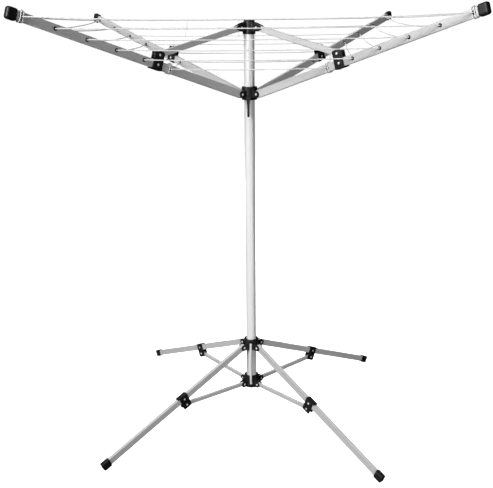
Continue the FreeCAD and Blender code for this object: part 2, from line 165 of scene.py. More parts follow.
FINISHES = (
    Finish("mast_tube", (0.84, 0.84, 0.84), 0.22, 0.38, 420.0, 0.10, 0.04, (1.0, 1.0, 0.05)),
    Finish("square_tube", (0.60, 0.60, 0.60), 0.22, 0.45, 500.0, 0.12, 0.04),
    Finish("bright_rod", (0.90, 0.90, 0.90), 0.3, 0.30, 500.0, 0.08, 0.03),
    Finish("zinc_bolt", (0.74, 0.74, 0.73), 0.4, 0.35, 700.0, 0.15, 0.06),
    Finish("black_plastic", (0.006, 0.006, 0.0065), 0.0, 0.48, 900.0, 0.25, 0.08),
    Finish("foot_plastic", (0.005, 0.005, 0.0055), 0.0, 0.55, 900.0, 0.25, 0.08),
    Finish("line_cord", (0.66, 0.66, 0.65), 0.0, 0.45, 1500.0, 0.15, 0.03),
)


class Shop:
    """Makes the finishes, and gives pieces their finish and their body."""

    def __init__(self) -> None:
        self.materials = {finish.name: finish.make() for finish in FINISHES}

    def dress(self, obj: bpy.types.Object, slot: str) -> bpy.types.Object:
        """Gives an object one finish, as its only material.

        Args:
            obj: a mesh or curve object.
            slot: the finish.

        Returns:
            The same object.
        """
        obj.data.materials.clear()
        obj.data.materials.append(self.materials[slot])
        return obj

    def finish_piece(self, obj: bpy.types.Object, slot: str, body: str) -> bpy.types.Object:
        """Dresses a new piece and rides it on its body.

        Args:
            obj: the piece.
            slot: its finish.
            body: the body that it moves with.

        Returns:
            The same piece.
        """
        self.dress(obj, slot)
        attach(obj, body)
        log.info("piece %s rides on %s, %d faces", obj.name, body, len(obj.data.polygons))
        return obj


def activate(obj: bpy.types.Object) -> None:
    """Makes an object the only one selected, and the active one."""
    bpy.ops.object.select_all(action="DESELECT")
    obj.select_set(True)
    bpy.context.view_layer.objects.active = obj


def apply_modifiers(obj: bpy.types.Object) -> None:
    """Applies every modifier of an object, in order."""
    activate(obj)
    for modifier in list(obj.modifiers):
        bpy.ops.object.modifier_apply(modifier=modifier.name)


def shade(obj: bpy.types.Object, degrees: float) -> None:
    """Shades an object smooth, apart from edges that turn by more than an angle."""
    activate(obj)
    bpy.ops.object.shade_smooth_by_angle(angle=math.radians(degrees))


def link_mesh(mesh: bmesh.types.BMesh, name: str) -> bpy.types.Object:
    """Makes an object of the scene from a working mesh.

    Args:
        mesh: the working mesh, which is freed.
        name: the object's name.

    Returns:
        The object.
    """
    data = bpy.data.meshes.new(name)
    mesh.to_mesh(data)
    mesh.free()
    obj = bpy.data.objects.new(name, data)
    bpy.context.scene.collection.objects.link(obj)
    return obj


def welded(node: str) -> bmesh.types.BMesh:
    """A working mesh of a CAD node, with its doubled points made one.

    Args:
        node: the CAD node.

    Returns:
        The working mesh.
    """
    mesh = bmesh.new()
    mesh.from_mesh(bpy.data.objects[node].data)
    bmesh.ops.remove_doubles(mesh, verts=mesh.verts, dist=WELD)
    return mesh


def skin(mesh: bmesh.types.BMesh, rings: list[list[bmesh.types.BMVert]], wrap: bool = False) -> None:
    """Covers a row of rings with faces.

    Args:
        mesh: the working mesh.
        rings: the rings, with as many points each.
        wrap: whether the last ring meets the first, instead of both being closed with a face.
    """
    pairs = list(zip(rings, rings[1:]))
    if wrap:
        pairs.append((rings[-1], rings[0]))
    for low, high in pairs:
        for k in range(len(low)):
            after = (k + 1) % len(low)
            mesh.faces.new((low[k], low[after], high[after], high[k]))
    if not wrap:
        mesh.faces.new(list(reversed(rings[0])))
        mesh.faces.new(rings[-1])
    bmesh.ops.recalc_face_normals(mesh, faces=mesh.faces)


def join(objects: list[bpy.types.Object], name: str) -> bpy.types.Object:
    """Joins objects into one.

    Args:
        objects: the objects, of which the first one stays.
        name: its new name.

    Returns:
        The one object.
    """
    bpy.ops.object.select_all(action="DESELECT")
    for obj in objects:
        obj.select_set(True)
    bpy.context.view_layer.objects.active = objects[0]
    if len(objects) > 1:
        bpy.ops.object.join()
    objects[0].name = name
    return objects[0]


def refined(node: str, round_off: float, along: Vector | None = None, segments: int = 2) -> bpy.types.Object:
    """A copy of a CAD node with merged points, rounded edges and smooth shading.

    Args:
        node: the CAD node.
        round_off: how far the edges are rounded, in metres.
        along: if given, only the edges in this direction are rounded.
        segments: steps in each rounded edge.

    Returns:
        The copy, which stands for the node.
    """
    mesh = welded(node)
    bmesh.ops.recalc_face_normals(mesh, faces=mesh.faces)
    bmesh.ops.dissolve_limit(mesh, angle_limit=math.radians(1.0), verts=mesh.verts, edges=mesh.edges,
                             delimit={"NORMAL"})
    weights = mesh.edges.layers.float.new("bevel_weight_edge")
    for edge in mesh.edges:
        sharp = len(edge.link_faces) == 2 and edge.calc_face_angle(0.0) > math.radians(32)
        straight = along is None or abs((edge.verts[1].co - edge.verts[0].co).normalized().dot(along)) > 0.999
        edge[weights] = 1.0 if sharp and straight else 0.0
    obj = link_mesh(mesh, f"{node}_shell")
    bevel = obj.modifiers.new("edges", "BEVEL")
    bevel.width = round_off
    bevel.segments = segments
    bevel.limit_method = "WEIGHT"
    bevel.use_clamp_overlap = True
    bevel.harden_normals = True
    apply_modifiers(obj)
    shade(obj, 30)
    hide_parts(node)
    return obj


def tube_mesh(name: str, path: list[Vector], radius: float, sides: int = 10,
              closed: bool = False) -> bpy.types.Object:
    """A round tube along a path, as a mesh with capped ends.

    Args:
        name: the object's name.
        path: points down the tube's middle.
        radius: the tube's radius.
        sides: faces round the tube.
        closed: whether its end meets its start.

    Returns:
        The tube.
    """
    mesh = bmesh.new()
    rings = []
    count = len(path)
    normal = None
    for i, point in enumerate(path):
        before = path[(i - 1) % count] if closed or i else path[0]
        after = path[(i + 1) % count] if closed or i < count - 1 else path[-1]
        tangent = (after - before).normalized()
        if normal is None:
            helper = UP if abs(tangent.z) < 0.9 else Vector((1, 0, 0))
            normal = tangent.cross(helper).normalized()
        normal = (normal - tangent * normal.dot(tangent)).normalized()
        other = tangent.cross(normal)
        ring = []
        for k in range(sides):
            angle = math.tau * k / sides
            ring.append(mesh.verts.new(point + (normal * math.cos(angle) + other * math.sin(angle)) * radius))
        rings.append(ring)
    skin(mesh, rings, closed)
    obj = link_mesh(mesh, name)
    shade(obj, 50)
    return obj


def spline_points(points: list[Vector], resolution: int = 10) -> list[Vector]:
    """Points along the smooth spline that has these control points.

    Args:
        points: the route's control points.
        resolution: steps a segment.

    Returns:
        The spline's points, end to end.
    """
    curve = bpy.data.curves.new("route", "CURVE")
    curve.dimensions = "3D"
    curve.resolution_u = resolution
    spline = curve.splines.new("NURBS")
    spline.points.add(len(points) - 1)
    for place, point in zip(spline.points, points):
        place.co = (*point, 1.0)
    spline.order_u = 3
    spline.use_endpoint_u = True
    holder = bpy.data.objects.new("route", curve)
    mesh = bpy.data.meshes.new_from_object(holder)
    path = [v.co.copy() for v in mesh.vertices]
    bpy.data.objects.remove(holder)
    bpy.data.curves.remove(curve)
    bpy.data.meshes.remove(mesh)
    return path


@dataclass(frozen=True)
class ArmFrame:
    """Where one arm is, read from the frame.

    Attributes:
        arm: which arm.
        holes: the line holes' middles, outermost first.
        out: along the arm, outwards.
        flat: the arm's level direction, outwards.
        side: level and square to the arm, towards the next arm anticlockwise.
        half: half the width over the arm's grommets.
    """

    arm: Arm
    holes: list[Vector]
    out: Vector
    flat: Vector
    side: Vector
    half: float

    @classmethod
    def read(cls, arm: Arm) -> "ArmFrame":
        """Reads an arm's holes from its grommets' mesh.

        Args:
            arm: which arm.

        Returns:
            Where the arm is.
        """
        verts = [v.co.copy() for v in bpy.data.objects[f"arm_grommets_{arm.value}"].data.vertices]
        verts.sort(key=lambda v: -math.hypot(v.x, v.y))
        groups: list[list[Vector]] = [[]]
        for v in verts:
            if groups[-1] and math.hypot(*groups[-1][-1].xy) - math.hypot(*v.xy) > 0.03:
                groups.append([])
            groups[-1].append(v)
        holes = [sum((Vector(map(pick, zip(*g))) for pick in (min, max)), Vector()) / 2 for g in groups]
        out = (holes[0] - holes[-1]).normalized()
        flat = Vector((out.x, out.y, 0)).normalized()
        side = UP.cross(flat)
        half = max((v - holes[-1]).dot(side) for v in groups[-1])
        return cls(arm, holes, out, flat, side, half)


@dataclass
class Tubes:
    """The mast and every straight tube, with their drawn corners."""

    shop: Shop
    arm_corner: float = 0.0022
    brace_corner: float = 0.0018
    leg_corner: float = 0.0020
    strut_corner: float = 0.0016

    def build(self) -> None:
        """Dresses the round tubes and replaces each square one with one that has rounded corners."""
        self.shop.dress(bpy.data.objects["mast_tube"], "mast_tube")
        self.shop.dress(bpy.data.objects["lock_rod"], "bright_rod")
        for name in (arm.value for arm in Arm):
            self.square(f"arm_tube_{name}", f"arm_{name}", self.arm_corner)
            self.square(f"brace_{name}", f"brace_{name}", self.brace_corner)
            self.square(f"leg_tube_{name}", f"leg_{name}", self.leg_corner)
            self.square(f"leg_strut_{name}", f"leg_strut_{name}", self.strut_corner)

    def square(self, node: str, body: str, corner: float) -> None:
        """One rectangular tube, rounded along its length only.

        Args:
            node: the CAD node.
            body: the body that it moves with.
            corner: the radius of its corners.
        """
        mesh = bpy.data.objects[node].data
        longest = max(mesh.polygons, key=lambda p: p.area)
        ends = [mesh.vertices[i].co for i in longest.vertices]
        sides = sorted(((a - b) for a, b in zip(ends, ends[1:] + ends[:1])), key=lambda e: e.length)
        along = sides[1].normalized()
        low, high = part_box(node)
        flat = Vector((high[0] - low[0], high[1] - low[1], 0))
        if abs(along.z) > 0.95:
            along = flat.normalized()
        self.shop.finish_piece(refined(node, corner, along, 3), "square_tube", body)


def moulded(node: str, extras: list[bpy.types.Object], voxel: float = 0.0008, keep: float = 0.35,
            rounds: int = 4) -> bpy.types.Object:
    """A copy of a CAD moulding, melted together with its ribs and bosses and given soft edges.

    Args:
        node: the CAD node.
        extras: pieces that become part of the moulding.
        voxel: the finest detail kept, in metres.
        keep: the share of its faces kept at the end.
        rounds: how much its edges are softened.

    Returns:
        The moulding, which stands for the node.
    """
    mesh = welded(node)
    bmesh.ops.recalc_face_normals(mesh, faces=mesh.faces)
    obj = join([link_mesh(mesh, f"{node}_shell"), *extras], f"{node}_shell")
    melt = obj.modifiers.new("melt", "REMESH")
    melt.mode = "VOXEL"
    melt.voxel_size = voxel
    soften = obj.modifiers.new("soften", "SMOOTH")
    soften.factor = 0.5
    soften.iterations = rounds
    thin = obj.modifiers.new("thin", "DECIMATE")
    thin.ratio = keep
    apply_modifiers(obj)
    shade(obj, 40)
    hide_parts(node)
    return obj


def turned_piece(name: str, origin: Vector, axis: Vector, profile: list[tuple[float, float]],
                 sides: int = 20) -> bpy.types.Object:
    """A solid of revolution.

    Args:
        name: the object's name.
        origin: the point on its axis that the profile counts from.
        axis: its axis.
        profile: how far along the axis and how far from it, from one end to the other.
        sides: faces round it.

    Returns:
        The solid.
    """
    axis = axis.normalized()
    across = axis.orthogonal().normalized()
    other = axis.cross(across)
    mesh = bmesh.new()
    rings = []
    for along, radius in profile:
        ring = []
        for k in range(sides):
            angle = math.tau * (k + 0.5) / sides
            spoke = across * math.cos(angle) + other * math.sin(angle)
            ring.append(mesh.verts.new(origin + axis * along + spoke * max(radius, 1e-5)))
        rings.append(ring)
    skin(mesh, rings)
    obj = link_mesh(mesh, name)
    shade(obj, 35)
    return obj


def block(middle: Vector, axes: tuple[Vector, Vector, Vector],
          size: tuple[float, float, float]) -> bpy.types.Object:
    """A box.

    Args:
        middle: its middle.
        axes: the directions of its edges.
        size: their lengths.

    Returns:
        The box.
    """
    mesh = bmesh.new()
    bmesh.ops.create_cube(mesh, size=1.0)
    for vert in mesh.verts:
        vert.co = middle + sum((axis.normalized() * length * part
                                for axis, length, part in zip(axes, size, vert.co)), Vector())
    return link_mesh(mesh, "block")


def islands(node: str) -> list[list[Vector]]:
    """The points of each separate solid of a CAD node.

    Args:
        node: the CAD node.

    Returns:
        A list of points for each solid.
    """
    mesh = welded(node)
    found, seen = [], set()
    for seed in mesh.verts:
        if seed in seen:
            continue
        stack, points = [seed], []
        seen.add(seed)
        while stack:
            vert = stack.pop()
            points.append(vert.co.copy())
            for edge in vert.link_edges:
                near = edge.other_vert(vert)
                if near not in seen:
                    seen.add(near)
                    stack.append(near)
        found.append(points)
    mesh.free()
    return found


def span_of(points: list[Vector], axis: Vector) -> tuple[float, float]:
    """The least and greatest place of some points along an axis."""
    places = [p.dot(axis) for p in points]
    return min(places), max(places)


@dataclass
class Mouldings:
    """Hubs, caps, brackets and feet in black plastic, with moulded ribs and softened edges.

    Attributes:
        shop: gives the pieces their finish.
        joints: the frame's joints by name.
        bore: a hub's inner radius and a little more.
        barrel: a hub's outer radius.
        spread: how far from the axis the crown's ears begin to keep their shape.
        lid_rises: heights above the pivots at which the lid starts to narrow, the mast ends and the lid ends.
        lid_radii: the crown's radius at the last two of them.
        skirt_rises: heights at which the skirt ends, is nearly as narrow, and starts to narrow.
        skirt_radii: the crown's radius at the first two of them.
        cheek: the outline of the crown's cheeks, as distances from the axis and above the pivot.
        cheek_faces: how far a cheek's inner and outer face are from its brace's middle.
        rib_width: the ribs' width.
        rib_spare: how far the ribs stay from a barrel's ends.
        rib_proud: how far they stand out.
        head: the height of a bolt's head.
        boss: the radius of a bracket's raised rings, at their face and at their foot.
        hub_reach: bolts nearer to the mast's axis than this are not a bracket's.
    """

    shop: Shop
    joints: dict[str, dict]
    bore: float = 0.0207
    barrel: float = 0.0290
    spread: float = 0.0360
    lid_rises: tuple[float, float, float] = (0.004, 0.0205, 0.026)
    lid_radii: tuple[float, float] = (0.0232, 0.0200)
    skirt_rises: tuple[float, float, float] = (-0.018, -0.012, -0.006)
    skirt_radii: tuple[float, float] = (0.0240, 0.0245)
    cheek: tuple[tuple[float, float], ...] = ((0.0215, 0.0235), (0.0665, 0.0075), (0.0700, 0.0030),
                                              (0.0700, -0.0060), (0.0560, -0.0105), (0.0215, -0.0140))
    cheek_faces: tuple[float, float] = (0.0067, 0.0104)
    rib_width: float = 0.0018
    rib_spare: float = 0.005
    rib_proud: float = 0.0009
    head: float = 0.0024
    boss: tuple[float, float] = (0.0072, 0.0080)
    hub_reach: float = 0.07

    def cheeks(self) -> list[bpy.types.Object]:
        """Sloping cheeks of the crown, from its lid down over each brace's end.

        Returns:
            Two cheeks for each brace.
        """
        made = []
        for name in (arm.value for arm in Arm):
            pivot = Vector(self.joints[f"brace_hinge_{name}"]["pos_m"])
            out = Vector((pivot.x, pivot.y, 0)).normalized()
            side = UP.cross(out)
            for sign in (-1, 1):
                mesh = bmesh.new()
                skin(mesh, [[mesh.verts.new(out * reach + side * sign * depth + UP * (pivot.z + rise))
                             for reach, rise in self.cheek] for depth in self.cheek_faces])
                made.append(link_mesh(mesh, "cheek"))
        return made

    def narrowed(self, radius: float, rise: float) -> float:
        """Where a point of the crown goes when the lid is domed and the skirt is drawn in.

        Args:
            radius: its distance from the mast's axis.
            rise: its height above the pivots.

        Returns:
            Its new distance from the axis.
        """
        if rise > self.lid_rises[0]:
            target = np.interp(rise, self.lid_rises, (self.barrel, *self.lid_radii))
        else:
            target = np.interp(rise, self.skirt_rises, (*self.skirt_radii, self.barrel))
        if radius > self.barrel:
            share = max(0.0, (self.spread - radius) / (self.spread - self.barrel))
            return radius - (self.barrel - target) * share
        if rise > self.lid_rises[1] + 0.0001:
            return radius * target / self.barrel
        if radius <= self.bore:
            return radius
        return self.bore + (radius - self.bore) * (target - self.bore) / (self.barrel - self.bore)

    def taper(self, crown: bpy.types.Object) -> None:
        """Domes the crown's lid and narrows its skirt, outside the mast."""
        middle = self.joints["brace_hinge_fl"]["pos_m"][2]
        for vert in crown.data.vertices:
            radius = math.hypot(vert.co.x, vert.co.y)
            if radius < 1e-6:
                continue
            share = self.narrowed(radius, vert.co.z - middle) / radius
            vert.co.x *= share
            vert.co.y *= share

    def ribs(self, node: str) -> list[bpy.types.Object]:
        """Upright ribs on a hub's barrel, between its ears on the left, right and back.

        Args:
            node: the hub.

        Returns:
            The ribs.
        """
        low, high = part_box(node)
        sunk = 0.0008
        size = (self.rib_proud + 2 * sunk, self.rib_width, high[2] - low[2] - 2 * self.rib_spare)
        made = []
        for quarter in range(3):
            for step in (-1, 0, 1):
                azimuth = math.radians(90 * quarter + 11 * step)
                out = Vector((math.cos(azimuth), math.sin(azimuth), 0))
                middle = out * (self.barrel + self.rib_proud / 2 - sunk) + UP * (low[2] + high[2]) / 2
                made.append(block(middle, (out, UP.cross(out), UP), size))
        return made

    def bosses(self, kind: str, name: str) -> list[bpy.types.Object]:
        """Raised rings round the bolts of a bracket.

        Args:
            kind: "arm" or "leg".
            name: which of the four.

        Returns:
            Two rings for each bolt.
        """
        face, foot = self.boss
        made = []
        for points in islands(f"{kind}_bolts_{name}"):
            middle = sum(points, Vector()) / len(points)
            if math.hypot(middle.x, middle.y) < self.hub_reach:
                continue
            side = UP.cross(Vector((middle.x, middle.y, 0))).normalized()
            low, high = span_of(points, side)
            half = (high - low) / 2 - self.head
            spot = middle + side * ((low + high) / 2 - middle.dot(side))
            made.append(turned_piece("boss", spot, side, [(-half - 0.0008, face), (-half + 0.001, foot)], 24))
            made.append(turned_piece("boss", spot, side, [(half - 0.001, foot), (half + 0.0008, face)], 24))
        return made

    def build(self) -> None:
        """Makes every black moulding."""
        bodies = {"crown_hub": "mast", "collar_hub": "collar", "leg_hub": "leg_hub", "lower_hub": "base"}
        for node, body in bodies.items():
            if node == "crown_hub":
                hub = moulded(node, self.cheeks())
                self.taper(hub)
            else:
                hub = moulded(node, self.ribs(node))
            self.shop.finish_piece(hub, "black_plastic", body)
        self.shop.finish_piece(moulded("latch_lever", [], 0.0005, 0.3), "black_plastic", "latch")
        for name in (arm.value for arm in Arm):
            for kind in ("arm", "leg"):
                bracket = moulded(f"{kind}_bracket_{name}", self.bosses(kind, name), 0.0007, 0.3)
                self.shop.finish_piece(bracket, "black_plastic", f"{kind}_{name}")
            cap = moulded(f"arm_cap_{name}", [], 0.0008, 0.3)
            self.shop.finish_piece(cap, "black_plastic", f"arm_{name}")
            foot = moulded(f"foot_cap_{name}", [], 0.0008, 0.3, 2)
            self.shop.finish_piece(foot, "foot_plastic", f"leg_{name}")
            self.shop.finish_piece(refined(f"arm_grommets_{name}", 0.0004), "black_plastic", f"arm_{name}")


@dataclass
class Bolts:
    """Domed pivot bolts with a hexagon nut on the side away from the front.

    Attributes:
        shop: gives the pieces their finish.
        joints: the frame's joints by name.
        head: the height of a head and of a nut.
        head_radii: a solid whose radius is between these has heads.
        shank: the radius of the bolts' shanks.
        ease: how far the edges of plain pins are eased.
    """

    shop: Shop
    joints: dict[str, dict]
    head: float = 0.0024
    head_radii: tuple[float, float] = (0.0040, 0.0048)
    shank: float = 0.003
    ease: float = 0.0004

    def dome(self, spot: Vector, outward: Vector, radius: float, height: float) -> bpy.types.Object:
        """A domed head that stands on a face.

        Args:
            spot: the middle of its foot.
            outward: the way that it faces.
            radius: its radius.
            height: its height.

        Returns:
            The head.
        """
        flange = height * 0.3
        profile = [(0.0, radius), (flange, radius)]
        for step in range(1, 6):
            angle = math.pi / 2 * step / 5
            profile.append((flange + (height - flange) * math.sin(angle), radius * 0.94 * math.cos(angle)))
        return turned_piece("head", spot, outward, profile, 24)

    def nut(self, spot: Vector, outward: Vector, radius: float, height: float) -> bpy.types.Object:
        """A washer and a hexagon nut that stand on a face, with the bolt's end.

        Args:
            spot: the middle of the washer's foot.
            outward: the way that they face.
            radius: the washer's radius.
            height: the height up to the bolt's end.

        Returns:
            The three, as one object.
        """
        thick = height * 0.22
        washer = turned_piece("washer", spot, outward, [(0.0, radius), (thick, radius)], 24)
        nut = turned_piece("nut", spot, outward, [(thick, radius * 0.90), (height * 0.8, radius * 0.92),
                                                  (height * 0.9, radius * 0.78)], 6)
        end = turned_piece("end", spot, outward, [(0.0, radius * 0.5), (height, radius * 0.5)], 16)
        return join([washer, nut, end], "nut")

    def fastener(self, points: list[Vector], flat: Vector) -> list[bpy.types.Object]:
        """Draws one solid of a bolt node anew.

        Args:
            points: the solid's points.
            flat: the direction outwards of the member or hub arm that it belongs to.

        Returns:
            The objects that it becomes.
        """
        side = UP.cross(flat).normalized()
        low, high = span_of(points, side)
        bottom, top = span_of(points, UP)
        radius = (top - bottom) / 2
        middle = Vector([(min(values) + max(values)) / 2 for values in zip(*points)])
        middle += side * ((low + high) / 2 - middle.dot(side))
        head, ease = self.head, self.ease
        if high - low < 2 * head:
            sign = 1 if middle.dot(side) > 0 else -1
            return [self.dome(middle - side * sign * (high - low) / 2, side * sign, radius, high - low)]
        half = (high - low) / 2
        if not self.head_radii[0] < radius < self.head_radii[1]:
            return [turned_piece("pin", middle, side, [(-half, radius - ease), (-half + ease, radius),
                                                       (half - ease, radius), (half, radius - ease)])]
        front = 1 if side.y < 0 else -1
        shank = turned_piece("shank", middle, side, [(-half + head, self.shank), (half - head, self.shank)])
        outer = middle + side * front * (half - head)
        inner = middle - side * front * (half - head)
        return [shank, self.dome(outer, side * front, radius, head),
                self.nut(inner, -side * front, radius, head)]

    def build(self) -> None:
        """Makes every bolt node's fasteners."""
        hubs = (("crown_bolts", "mast", "brace_hinge"), ("collar_bolts", "collar", "brace_hinge"),
                ("leg_hub_bolts", "leg_hub", "strut_hinge"), ("lower_hub_bolts", "base", "strut_hinge"))
        for node, body, hinge in hubs:
            pivots = [self.joints[f"{hinge}_{arm.value}"]["pos_m"] for arm in Arm]
            flats = [Vector((x, y, 0)).normalized() for x, y, _ in pivots]
            pieces = []
            for points in islands(node):
                middle = sum(points, Vector()) / len(points)
                out = Vector((middle.x, middle.y, 0)).normalized()
                flat = max(flats, key=out.dot)
                pieces += self.fastener(points, flat if flat.dot(out) > 0.9 else out)
            self.shop.finish_piece(self.whole(pieces, node), "zinc_bolt", body)
        for name in (arm.value for arm in Arm):
            for kind in ("arm", "leg"):
                node = f"{kind}_bolts_{name}"
                pieces = []
                for points in islands(node):
                    middle = sum(points, Vector()) / len(points)
                    pieces += self.fastener(points, Vector((middle.x, middle.y, 0)).normalized())
                self.shop.finish_piece(self.whole(pieces, node), "zinc_bolt", f"{kind}_{name}")

    def whole(self, pieces: list[bpy.types.Object], node: str) -> bpy.types.Object:
        """Joins a node's fasteners into the one object that stands for it.

        Args:
            pieces: the fasteners.
            node: the CAD node.

        Returns:
            The one object.
        """
        obj = join(pieces, f"{node}_shell")
        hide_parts(node)
        return obj


@dataclass(frozen=True)
class Span:
    """One stretch of line: two arms, a hole in each counted from the tip, and its sag at its middle."""

    start: Arm
    start_hole: int
    end: Arm
    end_hole: int
    sag: float


FRONT_OUTER, SIDE_OUTER, FRONT, BACK, SIDE, STEP, LINK = 0.013, 0.003, 0.004, 0.004, 0.009, 0.015, 0.008


@dataclass
class Line:
    """The washing line, as one piece through each hole, out to the middle of both its spans.

    Each piece rides on its arm.

    Attributes:
        shop: gives the pieces their finish.
        frames: where the arms are.
        joints: the frame's joints by name.
        stand: how far from a grommet's face a span begins.
        lead: how far it runs before it bends.
    """

    shop: Shop
    frames: dict[Arm, ArmFrame]
    joints: dict[str, dict]
    stand: float = 0.0021
    lead: float = 0.012

    def spans(self) -> list[Span]:
        """Every stretch of line: level round three sides and stepping in on the right.

        Returns:
            The stretches.
        """
        found = []
        for n in range(HOLES):
            found.append(Span(Arm.FL, n, Arm.FR, n, FRONT_OUTER if n == 0 else FRONT))
            found.append(Span(Arm.BR, n, Arm.BL, n, BACK))
            found.append(Span(Arm.BL, n, Arm.FL, n, SIDE_OUTER if n == 0 else SIDE))
        found += [Span(Arm.FR, n + 1, Arm.BR, n, STEP) for n in range(HOLES - 1)]
        found.append(Span(Arm.FR, 0, Arm.BR, 0, SIDE_OUTER))
        found.append(Span(Arm.BL, 0, Arm.FL, 1, LINK))
        return found

    def mouth(self, arm: Arm, hole: int, side: int) -> Vector:
        """The point just outside a hole, on one side of its arm."""
        frame = self.frames[arm]
        return frame.holes[hole] + frame.side * side * (frame.half + self.stand)

    def half(self, span: Span, at_start: bool) -> list[Vector]:
        """The control points of half a span, from a hole's mouth to the plane midway between the arms.

        Args:
            span: the stretch of line.
            at_start: whether it's the half at the span's first arm.

        Returns:
            The control points, from the mouth out.
        """
        a, b = self.mouth(span.start, span.start_hole, 1), self.mouth(span.end, span.end_hole, -1)
        if not at_start:
            a, b = b, a
        here = self.frames[span.start if at_start else span.end]
        there = self.frames[span.end if at_start else span.start]
        middle = (here.flat - there.flat).normalized()
        share = a.dot(middle) / (a.dot(middle) - b.dot(middle))
        sag = span.sag

        def point(s: float) -> Vector:
            return a.lerp(b, s) - UP * (4 * sag * s * (1 - s))

        near = self.lead / (b - a).length
        slope = (b - a) - UP * (4 * sag * (1 - 2 * share))
        bend = point(share) - slope * (share / 2)
        return [a, point(near), bend, point(share)]

    def fold_share(self, arm: Arm, middle: Vector) -> float:
        """How narrow a piece would need to be at the fold to still reach the plane between the arms.

        Args:
            arm: the arm that it rides on.
            middle: its end on that plane, at rest.

        Returns:
            Its width when folded, as a share of its width at rest.
        """
        frame = self.frames[arm]
        brace, hinge = self.joints[f"brace_hinge_{arm.value}"], self.joints[f"arm_hinge_{arm.value}"]
        turn = math.radians(hinge["range_deg"][1] - brace["range_deg"][1])
        pivot = Vector(brace["pos_m"]).dot(frame.flat)
        level = middle.dot(frame.flat)
        drop = (middle - frame.holes[-1]).z + (frame.holes[-1] - self.root(frame, pivot)).z
        folded = pivot + (level - pivot) * math.cos(turn) - drop * math.sin(turn)
        return max(0.04, min(1.0, folded / abs(middle.dot(frame.side))))

    def root(self, frame: ArmFrame, pivot: float) -> Vector:
        """The point of the line of an arm's holes that is as far from the mast as a pivot."""
        inner = frame.holes[-1]
        return inner - frame.out * ((inner.dot(frame.flat) - pivot) / frame.out.dot(frame.flat))

    def piece(self, name: str, arm: Arm, route: list[Vector],
              nodes: tuple[str, ...]) -> float:
        """Makes one piece of line on one arm.

        Args:
            name: the piece's name.
            arm: the arm that it rides on.
            route: its control points.
            nodes: the CAD nodes that the line stands for.

        Returns:
            Its length, in metres.
        """
        path = spline_points(route)
        obj = self.shop.finish_piece(tube_mesh(name, path, LINE_RADIUS), "line_cord", f"arm_{arm.value}")
        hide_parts(*nodes)
        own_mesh(obj)
        length = sum((b - a).length for a, b in zip(path, path[1:]))
        return length

    def build(self) -> float:
        """Makes every stretch of line.

        Returns:
            The line's whole length, in metres.
        """
        ways: dict[tuple[Arm, int], dict[int, list[list[Vector]]]] = {}
        for span in self.spans():
            for at_start in (True, False):
                arm, hole, side = ((span.start, span.start_hole, 1) if at_start
                                   else (span.end, span.end_hole, -1))
                ways.setdefault((arm, hole), {1: [], -1: []})[side].append(self.half(span, at_start))
        nodes = ("line_front", "line_left", "line_back", "line_right")
        total = 0.0
        for (arm, hole), sides in ways.items():
            first, second = sides[-1][:1], sides[1][:1]
            route = [p for half in first for p in reversed(half)] + [p for half in second for p in half]
            if not first:
                route.insert(0, self.mouth(arm, hole, -1))
            if not second:
                route.append(self.mouth(arm, hole, 1))
            total += self.piece(f"line_{arm.value}_{hole}", arm, route, nodes)
            for extra in sides[-1][1:] + sides[1][1:]:
                total += self.piece(f"line_{arm.value}_{hole}_extra", arm, extra, nodes)
        return total


